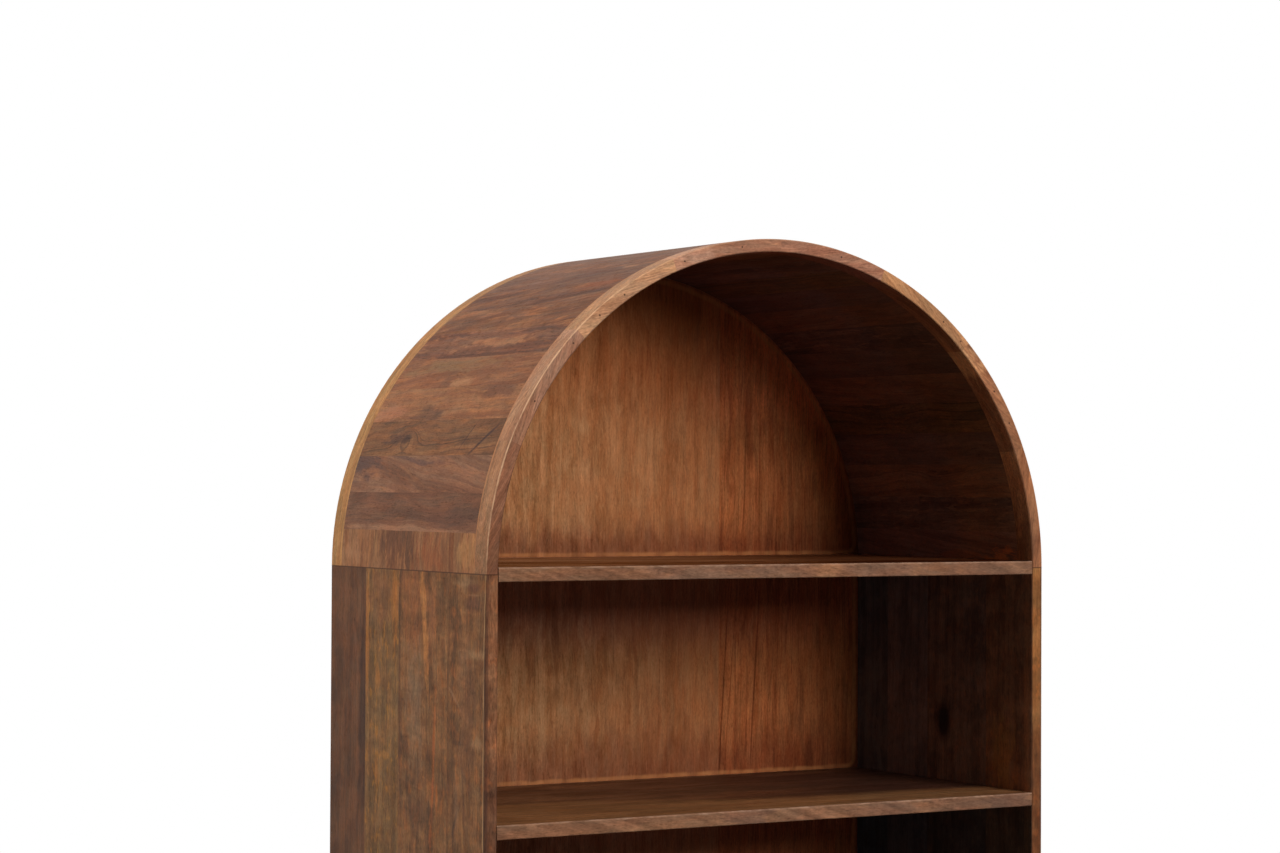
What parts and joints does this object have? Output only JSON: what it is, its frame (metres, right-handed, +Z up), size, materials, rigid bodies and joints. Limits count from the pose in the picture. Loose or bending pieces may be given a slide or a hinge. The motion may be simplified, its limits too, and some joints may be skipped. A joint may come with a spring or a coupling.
{
  "type": "arched bookcase",
  "caption": "Free-standing wooden bookcase with a half-round coopered top, fixed shelves and a closed inset back.",
  "frame": {"origin": "middle of the footprint, on the floor under the glides", "axes": "+Z up, open front towards -Y, +X to the right seen from the front"},
  "size_m": [0.9, 0.465, 1.8295],
  "materials": {
    "stave_red_brown": "satin, walnut-stained mango wood, grain front to back",
    "stave_olive_brown": "satin, walnut-stained mango wood, grain front to back",
    "stave_dark_brown": "satin, walnut-stained mango wood, grain front to back",
    "stave_tan_brown": "satin, walnut-stained mango wood, lighter foot stave",
    "lipping_golden_brown": "satin, walnut-stained mango wood, worn paler along the edge",
    "side_brown": "satin, walnut-stained mango wood, upright grain",
    "side_dark_brown": "satin, walnut-stained mango wood, upright grain, darker board",
    "shelf_brown": "satin, walnut-stained mango wood, grain side to side",
    "back_veneer": "satin, stained mango veneer, upright grain",
    "dowel_beech": "plain beech, hidden in the joints",
    "screw_steel": "zinc-plated screw heads",
    "glide_nylon": "dark nylon glides"
  },
  "bodies": {
    "root": {"stave_1": "stave_tan_brown", "stave_2": "stave_dark_brown", "stave_3": "stave_red_brown", "stave_4": "stave_olive_brown", "stave_5": "stave_dark_brown", "stave_6": "stave_red_brown", "stave_7": "stave_olive_brown", "stave_8": "stave_dark_brown", "stave_9": "stave_red_brown", "stave_10": "stave_olive_brown", "stave_11": "stave_dark_brown", "stave_12": "stave_red_brown", "stave_13": "stave_olive_brown", "stave_14": "stave_dark_brown", "stave_15": "stave_red_brown", "stave_16": "stave_olive_brown", "stave_17": "stave_dark_brown", "stave_18": "stave_red_brown", "stave_19": "stave_olive_brown", "stave_20": "stave_dark_brown", "stave_21": "stave_red_brown", "stave_22": "stave_olive_brown", "stave_23": "stave_dark_brown", "stave_24": "stave_red_brown", "stave_25": "stave_olive_brown", "stave_26": "stave_dark_brown", "stave_27": "stave_tan_brown", "front_ring_1": "lipping_golden_brown", "front_ring_2": "lipping_golden_brown", "front_ring_3": "lipping_golden_brown", "front_ring_4": "lipping_golden_brown", "front_ring_5": "lipping_golden_brown", "front_ring_6": "lipping_golden_brown", "front_ring_7": "lipping_golden_brown", "front_ring_8": "lipping_golden_brown", "rear_ring": "lipping_golden_brown", "left_side_board_1": "side_brown", "left_side_board_2": "side_brown", "left_side_board_3": "side_brown", "left_side_board_4": "side_dark_brown", "right_side_board_1": "side_brown", "right_side_board_2": "side_brown", "right_side_board_3": "side_brown", "right_side_board_4": "side_dark_brown", "shelf_1": "shelf_brown", "shelf_2": "shelf_brown", "shelf_3": "shelf_brown", "shelf_4": "shelf_brown", "bottom_board": "shelf_brown", "back_panel": "back_veneer", "front_kick_rail": "side_dark_brown", "rear_kick_rail": "side_dark_brown", "foot_dowels": "dowel_beech", "back_screws": "screw_steel", "floor_glides": "glide_nylon"}
  },
  "joints": []
}
